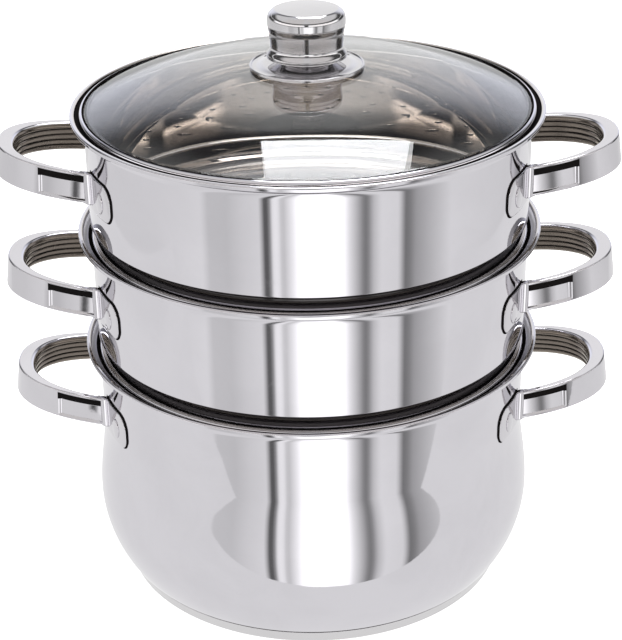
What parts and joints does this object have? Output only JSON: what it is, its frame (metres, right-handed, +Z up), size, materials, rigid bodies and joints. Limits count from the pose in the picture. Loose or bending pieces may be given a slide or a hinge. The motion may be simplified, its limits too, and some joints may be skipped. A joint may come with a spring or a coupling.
{
  "type": "three-tier steamer pot",
  "caption": "Bellied two-handled stockpot with stacked round steamer tiers of the same diameter, perforated floors, and a domed glass lid with a steel rim and knob.",
  "frame": {"origin": "on the pot's axis at the underside of the base", "axes": "+Z up along the stack's axis, handles along X, front facing -Y"},
  "size_m": [0.339, 0.254, 0.325],
  "materials": {
    "polished_steel": "mirror-polished stainless steel",
    "handle_steel": "mirror-polished stainless steel",
    "knob_steel": "mirror-polished stainless steel",
    "base_steel": "polished side, finely turned underside",
    "heat_disc": "plain, sealed inside the base",
    "lid_glass": "clear tempered glass, very slightly grey",
    "silicone": "translucent grey silicone",
    "knob_core": "moulded heat-proof plastic"
  },
  "bodies": {
    "stockpot": {"stockpot_base_cap": "base_steel", "stockpot_body": "polished_steel", "stockpot_heat_disc": "heat_disc", "stockpot_left_back_bracket": "handle_steel", "stockpot_left_front_bracket": "handle_steel", "stockpot_left_handle": "handle_steel", "stockpot_left_weld_buttons": "handle_steel", "stockpot_right_back_bracket": "handle_steel", "stockpot_right_front_bracket": "handle_steel", "stockpot_right_handle": "handle_steel", "stockpot_right_weld_buttons": "handle_steel"},
    "lower_steamer": {"lower_steamer_body": "polished_steel", "lower_steamer_left_back_bracket": "handle_steel", "lower_steamer_left_front_bracket": "handle_steel", "lower_steamer_left_handle": "handle_steel", "lower_steamer_left_weld_buttons": "handle_steel", "lower_steamer_right_back_bracket": "handle_steel", "lower_steamer_right_front_bracket": "handle_steel", "lower_steamer_right_handle": "handle_steel", "lower_steamer_right_weld_buttons": "handle_steel"},
    "upper_steamer": {"upper_steamer_body": "polished_steel", "upper_steamer_left_back_bracket": "handle_steel", "upper_steamer_left_front_bracket": "handle_steel", "upper_steamer_left_handle": "handle_steel", "upper_steamer_left_weld_buttons": "handle_steel", "upper_steamer_right_back_bracket": "handle_steel", "upper_steamer_right_front_bracket": "handle_steel", "upper_steamer_right_handle": "handle_steel", "upper_steamer_right_weld_buttons": "handle_steel"},
    "lid": {"knob_cap": "knob_steel", "knob_core": "knob_core", "knob_cup": "knob_steel", "knob_dish": "knob_steel", "knob_nut": "knob_steel", "lid_glass": "lid_glass", "lid_glass_bush": "silicone", "lid_rim_band": "polished_steel", "lid_screw": "knob_steel", "lid_screw_washer": "knob_steel"}
  },
  "joints": [
    {"name": "lower_steamer_lift", "type": "slide", "parent": "stockpot", "child": "lower_steamer", "axis": [0, 0, 1], "range_m": [0, 0.13]},
    {"name": "upper_steamer_lift", "type": "slide", "parent": "lower_steamer", "child": "upper_steamer", "axis": [0, 0, 1], "range_m": [0, 0.13]},
    {"name": "lid_lift", "type": "slide", "parent": "upper_steamer", "child": "lid", "axis": [0, 0, 1], "range_m": [0, 0.13]}
  ]
}
